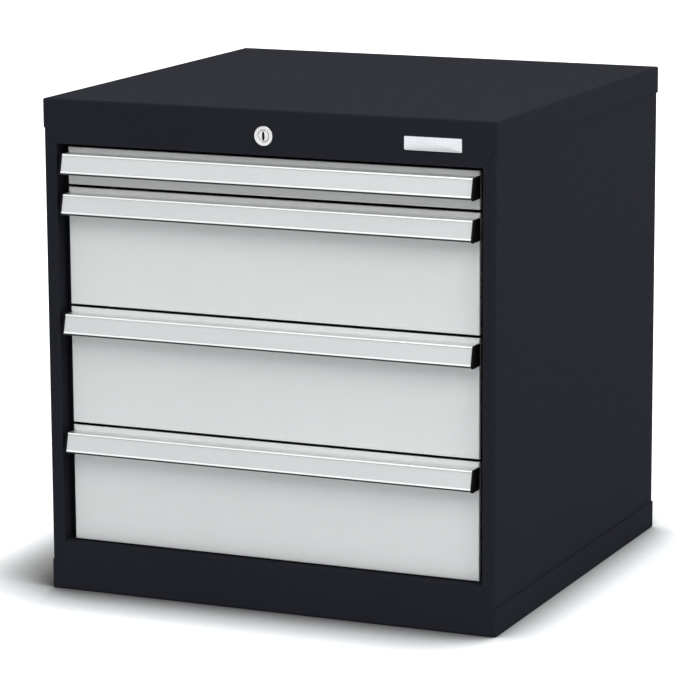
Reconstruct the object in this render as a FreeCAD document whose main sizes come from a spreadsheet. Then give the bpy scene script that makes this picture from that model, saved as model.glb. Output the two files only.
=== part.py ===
import FreeCAD, Part
import math
import os

import Sketcher
from FreeCAD import Placement, Rotation, Vector
from types import SimpleNamespace

# Drawer cabinet: a steel case with four drawers on ball slides and one central lock.
# The origin is the middle of the footprint on the floor, +Z is up and the fronts face -Y.

# Driving dimensions in millimetres
dimensions = {
    "cabinet_width": (598.0, "outside width over the skirts"),
    "cabinet_depth": (583.0, "depth from the frame's face to the back"),
    "cabinet_height": (620.0, "height from the floor to the top"),
    "case_sheet": (1.2, "sheet of the cover, base and sides"),
    "seam_gap": (0.3, "gap between case sheets that meet or overlap"),
    "bend_radius": (2.5, "outside radius of the case's main bends"),
    "edge_radius": (1.1, "outside radius of the bends round the opening"),
    "top_skirt": (34.0, "height of the cover's side and rear skirts"),
    "base_skirt": (35.0, "height of the base's side and rear skirts"),
    "header_height": (55.5, "height of the header above the drawers"),
    "plinth_height": (61.5, "height of the plinth under the drawers"),
    "post_width": (18.3, "front post, from the skirt's face to the opening"),
    "reveal_depth": (25.0, "depth of the flanges folded in round the opening"),
    "rear_flange": (22.0, "flange of a side panel across the back"),
    "back_sheet": (1.0, "sheet of the back panel"),
    "floor_hole": (11.0, "diameter of the floor-bolt holes"),
    "floor_hole_inset_x": (59.0, "floor-bolt holes in from the sides"),
    "floor_hole_inset_y": (71.5, "floor-bolt holes in from the front and back"),
    "rivet_diameter": (4.0, "shank of a back-panel rivet"),
    "rivet_head": (8.0, "diameter of a rivet's head"),
    "rivet_head_height": (1.6, "height of a rivet's head"),
    "fit_gap": (0.1, "radial clearance of screws, rivets and running fits"),
    "rail_inset": (9.2, "uprights' inner face, in from the side of the opening"),
    "upright_sheet": (1.5, "sheet of an upright"),
    "upright_depth": (35.0, "depth of an upright's channel"),
    "upright_setback": (27.0, "from the frame's face to the front uprights"),
    "upright_headroom": (6.0, "room over an upright, under the cover"),
    "slide_setback": (28.0, "from the frame's face to the slides"),
    "slide_rear_room": (55.0, "from the slides to the back"),
    "slide_height": (36.0, "height of a slide"),
    "slide_thickness": (12.7, "thickness of a slide, upright to tray"),
    "slide_rise": (18.0, "from a tray's underside to the slide's centre"),
    "rail_sheet": (1.2, "sheet of the slide members"),
    "rail_lip": (1.3, "lip that keeps the balls in"),
    "running_gap": (0.3, "gap between parts that run past each other"),
    "ball_diameter": (3.5, "balls of the slides"),
    "cage_sheet": (0.5, "sheet of a ball cage"),
    "cage_length": (220.0, "length of a ball cage"),
    "screw_diameter": (5.0, "slide screw"),
    "screw_head": (7.8, "countersunk head of a slide screw"),
    "screw_length": (9.0, "slide screw behind its head"),
    "front_recess": (13.5, "drawer fronts behind the frame's face"),
    "front_side_gap": (8.7, "drawer front inside the opening, each side"),
    "front_sheet": (1.2, "sheet of a drawer front"),
    "front_fold": (4.5, "depth of a drawer front's folds at its sides and foot"),
    "front_hem": (5.0, "hem folded down behind a drawer front's upper edge"),
    "front_bend": (1.1, "outside radius of a drawer front's bends"),
    "front_gap": (3.5, "gap between drawer fronts"),
    "foot_gap": (1.7, "gap between the plinth and the lowest front"),
    "head_gap": (4.8, "gap between the highest front and the header"),
    "tray_sheet": (1.0, "sheet of a tray"),
    "tray_bend": (0.9, "outside radius of a tray's lower bends"),
    "tray_rear_room": (56.3, "from a tray to the back"),
    "tray_rise": (5.0, "tray's underside above its front's lower edge"),
    "tray_hem": (8.0, "hem folded down inside the top of a tray"),
    "shallow_tray_room": (14.0, "shallow tray lower than its drawer's pitch"),
    "tall_tray_room": (22.0, "tall tray lower than its drawer's pitch"),
    "handle_drop": (6.5, "grip strip below its front's upper edge"),
    "handle_face": (22.9, "height of a grip strip's sloping face"),
    "handle_web": (1.6, "grip strip's wall against the front"),
    "handle_web_height": (26.5, "height of that wall"),
    "handle_ledge": (1.8, "grip strip's upper wall"),
    "handle_wall": (3.0, "grip strip's face, with the label channel"),
    "ledge_reach": (18.7, "upper edge of the face, out from the front"),
    "foot_reach": (24.6, "lower edge of the face, out from the front"),
    "grip_lip_drop": (2.6, "rounded lip below the face"),
    "grip_lip_back": (2.4, "set-back of that lip"),
    "channel_border": (1.2, "face above and below the label channel"),
    "channel_depth": (1.6, "depth of the label channel"),
    "channel_lip": (0.6, "thickness of the lips over the label"),
    "channel_overlap": (1.0, "reach of the lips over the label"),
    "label_sheet": (0.8, "thickness of a label insert"),
    "label_gap": (0.1, "play of the label in its channel"),
    "cap_sheet": (2.4, "thickness of an end cap"),
    "cap_overhang": (0.7, "end cap beyond the side of its front"),
    "cap_margin": (0.5, "end cap beyond the strip's outline"),
    "cap_rim": (2.0, "rim round an end cap's panel"),
    "cap_recess": (0.6, "depth of an end cap's panel"),
    "cap_plug": (8.0, "plug of an end cap inside the strip"),
    "lock_drop": (31.5, "lock's axis below the top"),
    "lock_ring": (24.0, "diameter of the lock's ring"),
    "lock_ring_proud": (2.0, "ring in front of the header"),
    "lock_body": (19.0, "diameter of the lock's housing"),
    "lock_depth": (24.0, "housing behind the header's face"),
    "barrel_diameter": (14.0, "lock barrel"),
    "barrel_sink": (0.4, "barrel's face behind the ring's face"),
    "barrel_play": (0.05, "radial play of the barrel"),
    "keyway_width": (2.5, "keyway, across"),
    "keyway_height": (10.0, "keyway, up and down"),
    "keyway_depth": (12.0, "depth of the keyway"),
    "nut_width": (27.0, "lock nut over its corners"),
    "nut_height": (5.0, "thickness of the lock nut"),
    "rod_diameter": (8.0, "lock rod"),
    "crank_radius": (12.0, "crank pin from the rod's axis"),
    "crank_disc": (32.0, "diameter of the crank"),
    "crank_pin": (6.0, "diameter of the crank pin"),
    "crank_play": (0.6, "play of the crank pin in its slot"),
    "bar_width": (20.0, "lock bar"),
    "bar_sheet": (3.0, "thickness of the lock bar and the crank"),
    "bar_gap": (3.0, "gap between the bar and what runs past it"),
    "bar_tail": (20.0, "lock bar below its lower guide"),
    "bar_head_rim": (5.0, "metal round the slot in the bar's head"),
    "tooth_sheet": (2.5, "thickness of a tooth"),
    "tooth_width": (16.0, "width of a tooth"),
    "tooth_flange": (15.0, "flange that fixes a tooth to the bar"),
    "catch_sheet": (1.5, "sheet of a drawer's catch"),
    "catch_width": (18.0, "width of a catch"),
    "catch_reach": (20.0, "catch behind the tray"),
    "catch_lip": (16.0, "catch's lip, downwards"),
    "catch_drop": (12.0, "catch below the tray's upper edge"),
    "catch_play": (5.0, "drawer's free travel when locked"),
    "tooth_clearance": (2.0, "catch above a lowered tooth"),
    "guide_sheet": (2.0, "sheet of the lock's brackets"),
    "guide_width": (36.0, "width of the lock's brackets"),
    "guide_flange": (22.0, "height of a bracket's fixing flange"),
    "guide_lip": (4.0, "bracket in front of the bar"),
    "guide_drop": (36.0, "a guide of the bar below the tooth over it"),
    "bearing_setback": (5.0, "rod's bracket behind the trays"),
    "plate_width": (73.0, "name plate, across"),
    "plate_height": (16.4, "name plate, up and down"),
    "plate_sheet": (1.2, "thickness of the name plate"),
    "plate_corner": (1.5, "corner radius of the name plate"),
    "plate_inset": (80.5, "name plate's middle in from the right side"),
    "plate_drop": (30.2, "name plate's middle below the top"),
}

# How many of each the cabinet has
rivets_per_side = 6
upright_holes = 22
balls_per_row = 6
tall_drawers = 3
tall_units = 3
holes_per_unit = 2

# A crank pin that turns a quarter, from an eighth turn below level to an eighth turn above it
eighth_turn = math.sqrt(0.5)

doc = FreeCAD.newDocument("drawer_cabinet")
sheet = doc.addObject("Spreadsheet::Sheet", "sizes")
for row, (alias, (value, meaning)) in enumerate(dimensions.items(), 1):
    sheet.set(f"A{row}", meaning)
    sheet.set(f"B{row}", str(value))
    sheet.setAlias(f"B{row}", alias)
doc.recompute()


# A size that knows its value and the spreadsheet formula that gives it
class Size:
    def __init__(self, value, formula):
        self.value = value
        self.formula = formula

    def __add__(self, other):
        other = as_size(other)
        return Size(self.value + other.value, f"({self.formula} + {other.formula})")

    def __radd__(self, other):
        return as_size(other) + self

    def __sub__(self, other):
        other = as_size(other)
        return Size(self.value - other.value, f"({self.formula} - {other.formula})")

    def __rsub__(self, other):
        return as_size(other) - self

    def __mul__(self, other):
        other = as_size(other)
        return Size(self.value * other.value, f"({self.formula} * {other.formula})")

    def __rmul__(self, other):
        return as_size(other) * self

    def __truediv__(self, other):
        other = as_size(other)
        return Size(self.value / other.value, f"({self.formula} / {other.formula})")

    def __neg__(self):
        return 0 - self


def as_size(amount):
    if isinstance(amount, Size):
        return amount
    return Size(float(amount), f"({float(amount)})")


def root(amount):
    return Size(math.sqrt(amount.value), f"sqrt({amount.formula})")


def smaller(first, second):
    return Size(min(first.value, second.value), f"min({first.formula}; {second.formula})")


# Every driving dimension by its name
d = SimpleNamespace(**{
    alias: Size(value, f"sizes.{alias}") for alias, (value, meaning) in dimensions.items()
})

# Places that several pieces share
half_width = d.cabinet_width / 2
front = (d.foot_reach + d.cap_margin - d.front_recess - d.cabinet_depth) / 2
rear = front + d.cabinet_depth
header_base = d.cabinet_height - d.header_height
opening_bend = smaller(d.edge_radius, 0.95 * d.case_sheet)
opening_half = half_width - d.post_width
lip_half = opening_half - d.seam_gap
side_face = half_width - d.case_sheet - d.seam_gap
side_inside = side_face - d.case_sheet
side_rear = rear - d.case_sheet - d.seam_gap
rail_face = opening_half - d.rail_inset
tray_half = rail_face - d.slide_thickness
front_half = opening_half - d.front_side_gap
strip_half = front_half + d.cap_overhang - d.cap_sheet
slide_start = front + d.slide_setback
slide_end = rear - d.slide_rear_room
slide_length = slide_end - slide_start
tray_start = front + d.front_recess + d.front_sheet
tray_end = rear - d.tray_rear_room
tray_depth = tray_end - tray_start
lock_height = d.cabinet_height - d.lock_drop
bar_front = tray_end + d.catch_reach + d.bar_gap
bar_rear = bar_front + d.bar_sheet
crank_rear = bar_front - d.bar_gap
crank_front = crank_rear - d.bar_sheet
bar_travel = 2 * eighth_turn * d.crank_radius
slot_height = lock_height - eighth_turn * d.crank_radius

pieces = []


def bind(item, path, amount):
    item.setExpression(path, as_size(amount).formula)


def node(label, item):
    item.Label = label
    pieces.append(item)
    return item


# Solids between two corners, and round ones along an axis
def box(name, low, high):
    solid = doc.addObject("Part::Box", name)
    for path, start, end in zip(("Length", "Width", "Height"), low, high):
        bind(solid, path, as_size(end) - start)
    for axis, start in zip("xyz", low):
        bind(solid, f"Placement.Base.{axis}", start)
    return solid


turns = {
    "x": Rotation(Vector(0, 1, 0), 90),
    "y": Rotation(Vector(1, 0, 0), -90),
    "z": Rotation(),
}


def turned(solid, place, axis):
    solid.Placement = Placement(Vector(), turns[axis])
    for letter, start in zip("xyz", place):
        bind(solid, f"Placement.Base.{letter}", start)
    return solid


def cylinder(name, place, diameter, reach, axis):
    solid = doc.addObject("Part::Cylinder", name)
    bind(solid, "Radius", diameter / 2)
    bind(solid, "Height", reach)
    return turned(solid, place, axis)


def cone(name, place, first_diameter, last_diameter, reach, axis):
    solid = doc.addObject("Part::Cone", name)
    bind(solid, "Radius1", first_diameter / 2)
    bind(solid, "Radius2", last_diameter / 2)
    bind(solid, "Height", reach)
    return turned(solid, place, axis)


def ball(name, place, diameter):
    solid = doc.addObject("Part::Sphere", name)
    bind(solid, "Radius", diameter / 2)
    return turned(solid, place, "z")


# Ways to join solids
def fuse(name, solids):
    joined = doc.addObject("Part::MultiFuse", name)
    joined.Shapes = solids
    joined.Refine = True
    return joined


def group(name, solids):
    several = doc.addObject("Part::Compound", name)
    several.Links = solids
    return several


def cut(name, solid, tools):
    remains = doc.addObject("Part::Cut", name)
    remains.Base = solid
    remains.Tool = tools[0] if len(tools) == 1 else group(name + "_tools", tools)
    return remains


def mirror(name, solid):
    twin = doc.addObject("Part::Mirroring", name)
    twin.Source = solid
    twin.Normal = (1, 0, 0)
    return twin


def pair(label, solid):
    return node(label, group(label, [solid, mirror(label + "_twin", solid)]))


# Bodies with sketches
def body(name, place):
    item = doc.addObject("PartDesign::Body", name)
    for letter, start in zip("xyz", place):
        bind(item, f"Placement.Base.{letter}", start)
    return item


def origin_feature(item, role):
    return next(part for part in item.Origin.OriginFeatures if part.Role == role)


def sketch(item, name, plane, lift=0):
    drawing = item.newObject("Sketcher::SketchObject", name)
    drawing.AttachmentSupport = [(origin_feature(item, plane + "_Plane"), "")]
    drawing.MapMode = "FlatFace"
    if lift != 0:
        bind(drawing, "AttachmentOffset.Base.z", lift)
    return drawing


def hold(drawing, corner, point):
    # ties a corner of the drawing to its two distances from the sketch's origin
    for kind, amount, axis in (("DistanceX", point[0], -2), ("DistanceY", point[1], -1)):
        if isinstance(amount, (int, float)) and amount == 0:
            drawing.addConstraint(Sketcher.Constraint("PointOnObject", *corner, axis))
            continue
        amount = as_size(amount)
        number = drawing.addConstraint(Sketcher.Constraint(kind, -1, 1, *corner, amount.value))
        bind(drawing, f"Constraints[{number}]", amount)


def outline(drawing, points):
    first = drawing.GeometryCount
    flat = [Vector(as_size(x).value, as_size(y).value, 0) for x, y in points]
    count = len(points)
    for start, end in zip(flat, flat[1:] + flat[:1]):
        drawing.addGeometry(Part.LineSegment(start, end), False)
    for side in range(count):
        following = first + (side + 1) % count
        drawing.addConstraint(Sketcher.Constraint("Coincident", first + side, 2, following, 1))
    for side, point in enumerate(points):
        hold(drawing, (first + side, 1), point)


def circle(drawing, centre, diameter):
    middle = Vector(as_size(centre[0]).value, as_size(centre[1]).value, 0)
    radius = (diameter / 2).value
    index = drawing.addGeometry(Part.Circle(middle, Vector(0, 0, 1), radius), False)
    hold(drawing, (index, 3), centre)
    number = drawing.addConstraint(Sketcher.Constraint("Diameter", index, diameter.value))
    bind(drawing, f"Constraints[{number}]", diameter)


def rectangle(drawing, low, high):
    outline(drawing, [low, (high[0], low[1]), high, (low[0], high[1])])


def pad(item, name, drawing, reach, backwards=False, midplane=False):
    feature = item.newObject("PartDesign::Pad", name)
    feature.Profile = drawing
    feature.Reversed = backwards
    feature.Midplane = midplane
    bind(feature, "Length", reach)
    doc.recompute()
    return feature


def pocket(item, name, drawing, reach=None, backwards=False):
    before = item.Tip.Shape.Volume
    feature = item.newObject("PartDesign::Pocket", name)
    feature.Profile = drawing
    feature.Reversed = backwards
    if reach is None:
        feature.Type = "ThroughAll"
        feature.Midplane = True
    else:
        bind(feature, "Length", reach)
    doc.recompute()
    if feature.Shape.Volume >= before:
        raise RuntimeError(name + " removes nothing")
    return feature


def fillet(item, name, base, radius, wanted):
    feature = item.newObject("PartDesign::Fillet", name)
    edges = [f"Edge{number}" for number, edge in enumerate(base.Shape.Edges, 1) if wanted(edge)]
    feature.Base = (base, edges)
    bind(feature, "Radius", radius)
    doc.recompute()
    return feature


def hollow(item, name, base, wall, wanted):
    # leaves a wall inside the base's faces and opens the wanted one
    feature = item.newObject("PartDesign::Thickness", name)
    faces = [f"Face{number}" for number, face in enumerate(base.Shape.Faces, 1) if wanted(face)]
    feature.Base = (base, faces)
    feature.Reversed = True
    bind(feature, "Value", wall)
    doc.recompute()
    return feature


# Tests on a body's edges and faces
def near(first, second):
    return abs(first - second) < 1e-4


def level(edge, axis, amount):
    # true where every end of the edge has this coordinate
    place = as_size(amount).value
    return all(near(getattr(end.Point, axis), place) for end in edge.Vertexes)


def upright_edge(edge):
    return len(edge.Vertexes) == 2 and near(abs(edge.tangentAt(edge.FirstParameter).z), 1)


def lies_at(face, axis, amount):
    return all(level(edge, axis, amount) for edge in face.Edges)


# Corners that the mitred seams cut off a front flange, right and left
def mitre_corners(drawing, seam_low, seam_high, beyond, margin):
    for side in (1, -1):
        outline(drawing, [
            (side * lip_half, seam_low),
            (side * half_width, seam_high),
            (side * (half_width + margin), seam_high),
            (side * (half_width + margin), beyond),
            (side * lip_half, beyond),
        ])


# Top cover: a tray upside down, whose front wall is the header
def make_top_cover():
    cover = body("top_cover", (0, front, header_base))
    blank = sketch(cover, "cover_blank", "XY")
    rectangle(blank, (-half_width, 0), (half_width, d.cabinet_depth))
    block = pad(cover, "cover_block", blank, d.header_height)
    rounded = fillet(cover, "cover_bends", block, d.bend_radius, lambda edge: (
        upright_edge(edge) or level(edge, "z", d.header_height)))
    hollow(cover, "cover_shell", rounded, d.case_sheet, lambda face: lies_at(face, "z", 0))
    skirt_line = d.header_height - d.top_skirt
    waste = sketch(cover, "skirt_waste", "YZ")
    rectangle(waste, (d.case_sheet, -d.case_sheet), (d.cabinet_depth + d.case_sheet, skirt_line))
    pocket(cover, "skirt_cut", waste)
    corners = sketch(cover, "mitre_waste", "XZ")
    mitre_corners(corners, 0, skirt_line, -d.case_sheet, d.post_width)
    pocket(cover, "mitre_cut", corners, d.case_sheet + d.bend_radius)
    lip = sketch(cover, "header_lip_outline", "XY")
    rectangle(lip, (-lip_half, 0), (lip_half, d.reveal_depth))
    folded = pad(cover, "header_lip", lip, d.case_sheet)
    fillet(cover, "header_edge", folded, opening_bend, lambda edge: (
        level(edge, "z", 0) and level(edge, "y", 0)))
    hole = sketch(cover, "lock_hole_outline", "XZ")
    circle(hole, (0, d.header_height - d.lock_drop), d.lock_body + 2 * d.fit_gap)
    pocket(cover, "lock_hole", hole, 2 * d.case_sheet)
    return node("top_cover", cover)


# Base pan: the same tray the right way up, whose front wall is the plinth
def make_base_pan():
    pan = body("base_pan", (0, front, 0))
    blank = sketch(pan, "pan_blank", "XY")
    rectangle(blank, (-half_width, 0), (half_width, d.cabinet_depth))
    block = pad(pan, "pan_block", blank, d.plinth_height)
    rounded = fillet(pan, "pan_bends", block, d.bend_radius, lambda edge: (
        upright_edge(edge) or level(edge, "z", 0)))
    hollow(pan, "pan_shell", rounded, d.case_sheet,
           lambda face: lies_at(face, "z", d.plinth_height))
    above = d.plinth_height + d.case_sheet
    waste = sketch(pan, "pan_skirt_waste", "YZ")
    rectangle(waste, (d.case_sheet, d.base_skirt), (d.cabinet_depth + d.case_sheet, above))
    pocket(pan, "pan_skirt_cut", waste)
    corners = sketch(pan, "pan_mitre_waste", "XZ")
    mitre_corners(corners, d.plinth_height, d.base_skirt, above, d.post_width)
    pocket(pan, "pan_mitre_cut", corners, d.case_sheet + d.bend_radius)
    lip = sketch(pan, "plinth_lip_outline", "XY", d.plinth_height)
    rectangle(lip, (-lip_half, 0), (lip_half, d.reveal_depth))
    folded = pad(pan, "plinth_lip", lip, d.case_sheet, backwards=True)
    fillet(pan, "plinth_edge", folded, opening_bend, lambda edge: (
        level(edge, "z", d.plinth_height) and level(edge, "y", 0)))
    holes = sketch(pan, "floor_holes_outline", "XY", 2 * d.case_sheet)
    for side in (-1, 1):
        for end in (-1, 1):
            across = side * (half_width - d.floor_hole_inset_x)
            along = end * (d.cabinet_depth / 2 - d.floor_hole_inset_y)
            circle(holes, (across, d.cabinet_depth / 2 + along), d.floor_hole)
    pocket(pan, "floor_holes", holes, 3 * d.case_sheet)
    return node("base_pan", pan)


# Where the back panel's rivets sit, on one side
def rivet_places():
    first = d.base_skirt + d.rear_flange
    last = d.cabinet_height - d.top_skirt - d.rear_flange
    step = (last - first) / (rivets_per_side - 1)
    return [(side_face - d.rear_flange / 2, first + step * number) for number in range(rivets_per_side)]


# Side panel: a channel whose front flange is the post beside the drawers
def make_side_panels():
    foot = d.bend_radius
    panel = body("side_panel", (0, front, foot))
    back = d.cabinet_depth - d.case_sheet - d.seam_gap
    flange = side_face - d.rear_flange
    plan = sketch(panel, "panel_plan", "XY")
    outline(plan, [
        (opening_half, 0),
        (side_face, 0),
        (side_face, back),
        (flange, back),
        (flange, back - d.case_sheet),
        (side_inside, back - d.case_sheet),
        (side_inside, d.case_sheet),
        (opening_half + d.case_sheet, d.case_sheet),
        (opening_half + d.case_sheet, d.reveal_depth),
        (opening_half, d.reveal_depth),
    ])
    tall = d.cabinet_height - 2 * d.bend_radius
    web = pad(panel, "panel_web", plan, tall)
    outside = fillet(panel, "panel_outer_bends", web, d.bend_radius, lambda edge: (
        upright_edge(edge) and level(edge, "x", side_face)))
    inside = fillet(panel, "panel_inner_bends", outside, d.bend_radius - d.case_sheet, lambda edge: (
        upright_edge(edge) and level(edge, "x", side_inside)))
    fillet(panel, "reveal_bend", inside, opening_bend, lambda edge: (
        upright_edge(edge) and level(edge, "x", opening_half) and level(edge, "y", 0)))
    tuck = d.case_sheet + 2 * d.seam_gap
    header_line = header_base - foot - d.seam_gap
    header_skirt = d.cabinet_height - d.top_skirt - foot - d.seam_gap
    plinth_line = d.plinth_height - foot + d.seam_gap
    plinth_skirt = d.base_skirt - foot + d.seam_gap
    seams = ((header_line, header_skirt, tall + tuck), (plinth_line, plinth_skirt, -tuck))
    for name, (inner, outer, beyond) in zip(("header", "plinth"), seams):
        waste = sketch(panel, name + "_seam", "XZ")
        outline(waste, [
            (opening_half - tuck, inner),
            (opening_half, inner),
            (half_width, outer),
            (half_width + tuck, outer),
            (half_width + tuck, beyond),
            (opening_half - tuck, beyond),
        ])
        pocket(panel, name + "_seam_cut", waste, tuck)
    holes = []
    for number, (across, up) in enumerate(rivet_places()):
        place = (across, side_rear - 2 * d.case_sheet, up)
        hole = d.rivet_diameter + 2 * d.fit_gap
        holes.append(cylinder(f"flange_hole_{number}", place, hole, 3 * d.case_sheet, "y"))
    right = cut("side_panel_right", panel, holes)
    node("side_panel_right", right)
    node("side_panel_left", mirror("side_panel_left", right))


# Back panel inside the side panels' rear flanges, and its rivets
def make_back():
    inner_face = side_rear - d.case_sheet - d.back_sheet
    reach = side_inside - d.bend_radius
    low = d.case_sheet + d.seam_gap
    panel = box("back_blank", (-reach, inner_face, low),
                (reach, side_rear - d.case_sheet, d.cabinet_height - low))
    holes = []
    rivets = []
    tail = 2 * d.back_sheet
    for number, (across, up) in enumerate(rivet_places()):
        for side in (-1, 1):
            name = f"rivet_{number}_{'left' if side < 0 else 'right'}"
            start = (side * across, inner_face - tail, up)
            through = side_rear - inner_face + tail
            bore = d.rivet_diameter + 2 * d.fit_gap
            holes.append(cylinder(name + "_hole", start, bore, through, "y"))
            shank = cylinder(name + "_shank", start, d.rivet_diameter, through, "y")
            seat = (side * across, side_rear, up)
            head = cone(name + "_head", seat, d.rivet_head, d.rivet_head / 2, d.rivet_head_height, "y")
            rivets.append(fuse(name, [shank, head]))
    node("back_panel", cut("back_panel", panel, holes))
    node("back_panel_rivets", group("back_panel_rivets", rivets))


# Heights of the drawers, from the top one down
def drawer_table():
    units = 1 + tall_drawers * tall_units
    stack = header_base - d.plinth_height - d.foot_gap - d.head_gap + d.front_gap
    unit = stack / units
    heights = [(unit, unit - d.shallow_tray_room)]
    heights += [(unit * tall_units, unit * tall_units - d.tall_tray_room)] * tall_drawers
    drawers = []
    low = header_base - d.head_gap + d.front_gap
    for number, (pitch, tray) in enumerate(heights, 1):
        low = low - pitch
        drawers.append(SimpleNamespace(
            number=number,
            low=low,
            high=low + pitch - d.front_gap,
            tray_low=low + d.tray_rise,
            tray_height=tray,
            slide=low + d.tray_rise + d.slide_rise,
            catch=low + d.tray_rise + tray - d.catch_drop,
        ))
    return drawers, unit / holes_per_unit


drawers, hole_pitch = drawer_table()


# Uprights: perforated channels that stand on the base and carry the slides
def make_uprights(name, start):
    channel = body(name + "_channel", (0, start, d.case_sheet))
    plan = sketch(channel, name + "_plan", "XY")
    web = rail_face + d.upright_sheet
    outline(plan, [
        (rail_face, 0),
        (side_inside, 0),
        (side_inside, d.upright_sheet),
        (web, d.upright_sheet),
        (web, d.upright_depth - d.upright_sheet),
        (side_inside, d.upright_depth - d.upright_sheet),
        (side_inside, d.upright_depth),
        (rail_face, d.upright_depth),
    ])
    tall = d.cabinet_height - 2 * d.case_sheet - d.upright_headroom
    pad(channel, name + "_length", plan, tall)
    hole = sketch(channel, name + "_hole_outline", "YZ")
    lowest = drawers[-1].slide - hole_pitch - d.case_sheet
    circle(hole, (d.upright_depth / 2, lowest), d.screw_diameter + 2 * d.fit_gap)
    first = pocket(channel, name + "_hole", hole)
    row = channel.newObject("PartDesign::LinearPattern", name + "_holes")
    row.Originals = [first]
    row.Direction = (origin_feature(channel, "Z_Axis"), [""])
    row.Occurrences = upright_holes
    bind(row, "Length", hole_pitch * (upright_holes - 1))
    channel.Tip = row
    doc.recompute()
    pair(name, channel)


# Sections of a slide, as (distance from the upright, height from the slide's centre)
def slide_sections():
    half = d.slide_height / 2
    ball_outer = half - d.rail_sheet - d.running_gap - d.ball_diameter / 2
    middle_half = ball_outer - d.ball_diameter / 2 - d.running_gap
    middle_inside = middle_half - d.rail_sheet
    ball_inner = middle_inside - d.running_gap - d.ball_diameter / 2
    drawer_half = ball_inner - d.ball_diameter / 2 - d.running_gap
    outer_cage = d.rail_sheet + d.running_gap
    middle_web = outer_cage + d.cage_sheet + d.running_gap
    inner_cage = middle_web + d.rail_sheet + d.running_gap
    drawer_flange = inner_cage + d.cage_sheet + d.running_gap
    lip_end = d.slide_thickness - d.rail_sheet - d.cage_sheet
    lip_start = lip_end - d.rail_sheet
    cage_end = lip_start - d.running_gap
    row = (outer_cage + cage_end) / 2 + d.running_gap

    def folded(points):
        # a section drawn for its upper half and repeated below
        return points + [(across, -up) for across, up in reversed(points)]

    return SimpleNamespace(
        row=row,
        ball_outer=ball_outer,
        ball_inner=ball_inner,
        cabinet_rail=folded([
            (d.rail_sheet, half - d.rail_sheet),
            (lip_start, half - d.rail_sheet),
            (lip_start, half - d.rail_sheet - d.rail_lip),
            (lip_end, half - d.rail_sheet - d.rail_lip),
            (lip_end, half),
            (0, half),
        ]),
        middle_rail=folded([
            (middle_web + d.rail_sheet, middle_inside),
            (lip_end, middle_inside),
            (lip_end, middle_half + d.rail_lip),
            (lip_start, middle_half + d.rail_lip),
            (lip_start, middle_half),
            (middle_web, middle_half),
        ]),
        drawer_rail=folded([
            (d.slide_thickness - d.rail_sheet, drawer_half - d.rail_sheet),
            (drawer_flange, drawer_half - d.rail_sheet),
            (drawer_flange, drawer_half),
            (d.slide_thickness, drawer_half),
        ]),
        outer_cage=folded([
            (outer_cage + d.cage_sheet, ball_outer - d.cage_sheet / 2),
            (cage_end, ball_outer - d.cage_sheet / 2),
            (cage_end, ball_outer + d.cage_sheet / 2),
            (outer_cage, ball_outer + d.cage_sheet / 2),
        ]),
        inner_cage=folded([
            (inner_cage + d.cage_sheet, ball_inner - d.cage_sheet / 2),
            (cage_end, ball_inner - d.cage_sheet / 2),
            (cage_end, ball_inner + d.cage_sheet / 2),
            (inner_cage, ball_inner + d.cage_sheet / 2),
        ]),
    )


section = slide_sections()


# A right-hand slide member: its section drawn out from front to back
def member(name, points, height, start, reach):
    rail = body(name, (0, start, height))
    drawing = sketch(rail, name + "_section", "XZ")
    outline(drawing, [(rail_face - across, up) for across, up in points])
    pad(rail, name + "_run", drawing, reach, backwards=True)
    return rail


# Where a slide's two screws go, front to back
screw_rows = (
    front + d.upright_setback + d.upright_depth / 2,
    slide_end - d.upright_depth / 2,
)


# Cabinet rails with their countersunk screw holes
def make_cabinet_rails(drawer):
    name = f"drawer_{drawer.number}_cabinet_rails"
    rail = member(name + "_rail", section.cabinet_rail, drawer.slide, slide_start, slide_length)
    seats = []
    for number, along in enumerate(screw_rows):
        place = (rail_face - d.rail_sheet, along, drawer.slide)
        wide = d.screw_head + 2 * d.fit_gap
        narrow = d.screw_diameter + 2 * d.fit_gap
        seats.append(cone(f"{name}_seat_{number}", place, wide, narrow, d.rail_sheet, "x"))
    pair(name, cut(name + "_drilled", rail, seats))


def make_rail_screws():
    right = []
    for drawer in drawers:
        for number, along in enumerate(screw_rows):
            name = f"rail_screw_{drawer.number}_{number}"
            seat = (rail_face - d.rail_sheet, along, drawer.slide)
            head = cone(name + "_head", seat, d.screw_head, d.screw_diameter, d.rail_sheet, "x")
            place = (rail_face, along, drawer.slide)
            shank = cylinder(name + "_shank", place, d.screw_diameter, d.screw_length, "x")
            right.append(fuse(name, [head, shank]))
    pair("rail_screws", group("rail_screws_right", right))


# Ball cages: a thin folded strip on each side, with its balls loose in their holes
def make_cages(name, points, ball_height, drawer):
    start = (slide_start + slide_end - d.cage_length) / 2
    strip = member(name + "_strip", points, drawer.slide, start, d.cage_length)
    holes = []
    balls = []
    across = rail_face - section.row
    for number in range(balls_per_row):
        along = start + d.cage_length * (number + 0.5) / balls_per_row
        low = drawer.slide - d.slide_height / 2
        hole = d.ball_diameter + 2 * d.fit_gap
        holes.append(cylinder(f"{name}_hole_{number}", (across, along, low), hole, d.slide_height, "z"))
        for side in (-1, 1):
            for level_of in (-1, 1):
                place = (side * across, along, drawer.slide + level_of * ball_height)
                balls.append(ball(f"{name}_ball_{len(balls)}", place, d.ball_diameter))
    right = cut(name + "_right", strip, holes)
    node(name, group(name, [right, mirror(name + "_left", right)] + balls))


def make_slide(drawer):
    prefix = f"drawer_{drawer.number}_"
    make_cabinet_rails(drawer)
    for name, points in (("middle", section.middle_rail), ("drawer", section.drawer_rail)):
        label = f"{prefix}{name}_rails"
        pair(label, member(label + "_rail", points, drawer.slide, slide_start, slide_length))
    make_cages(prefix + "outer_cages", section.outer_cage, section.ball_outer, drawer)
    make_cages(prefix + "inner_cages", section.inner_cage, section.ball_inner, drawer)


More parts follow.
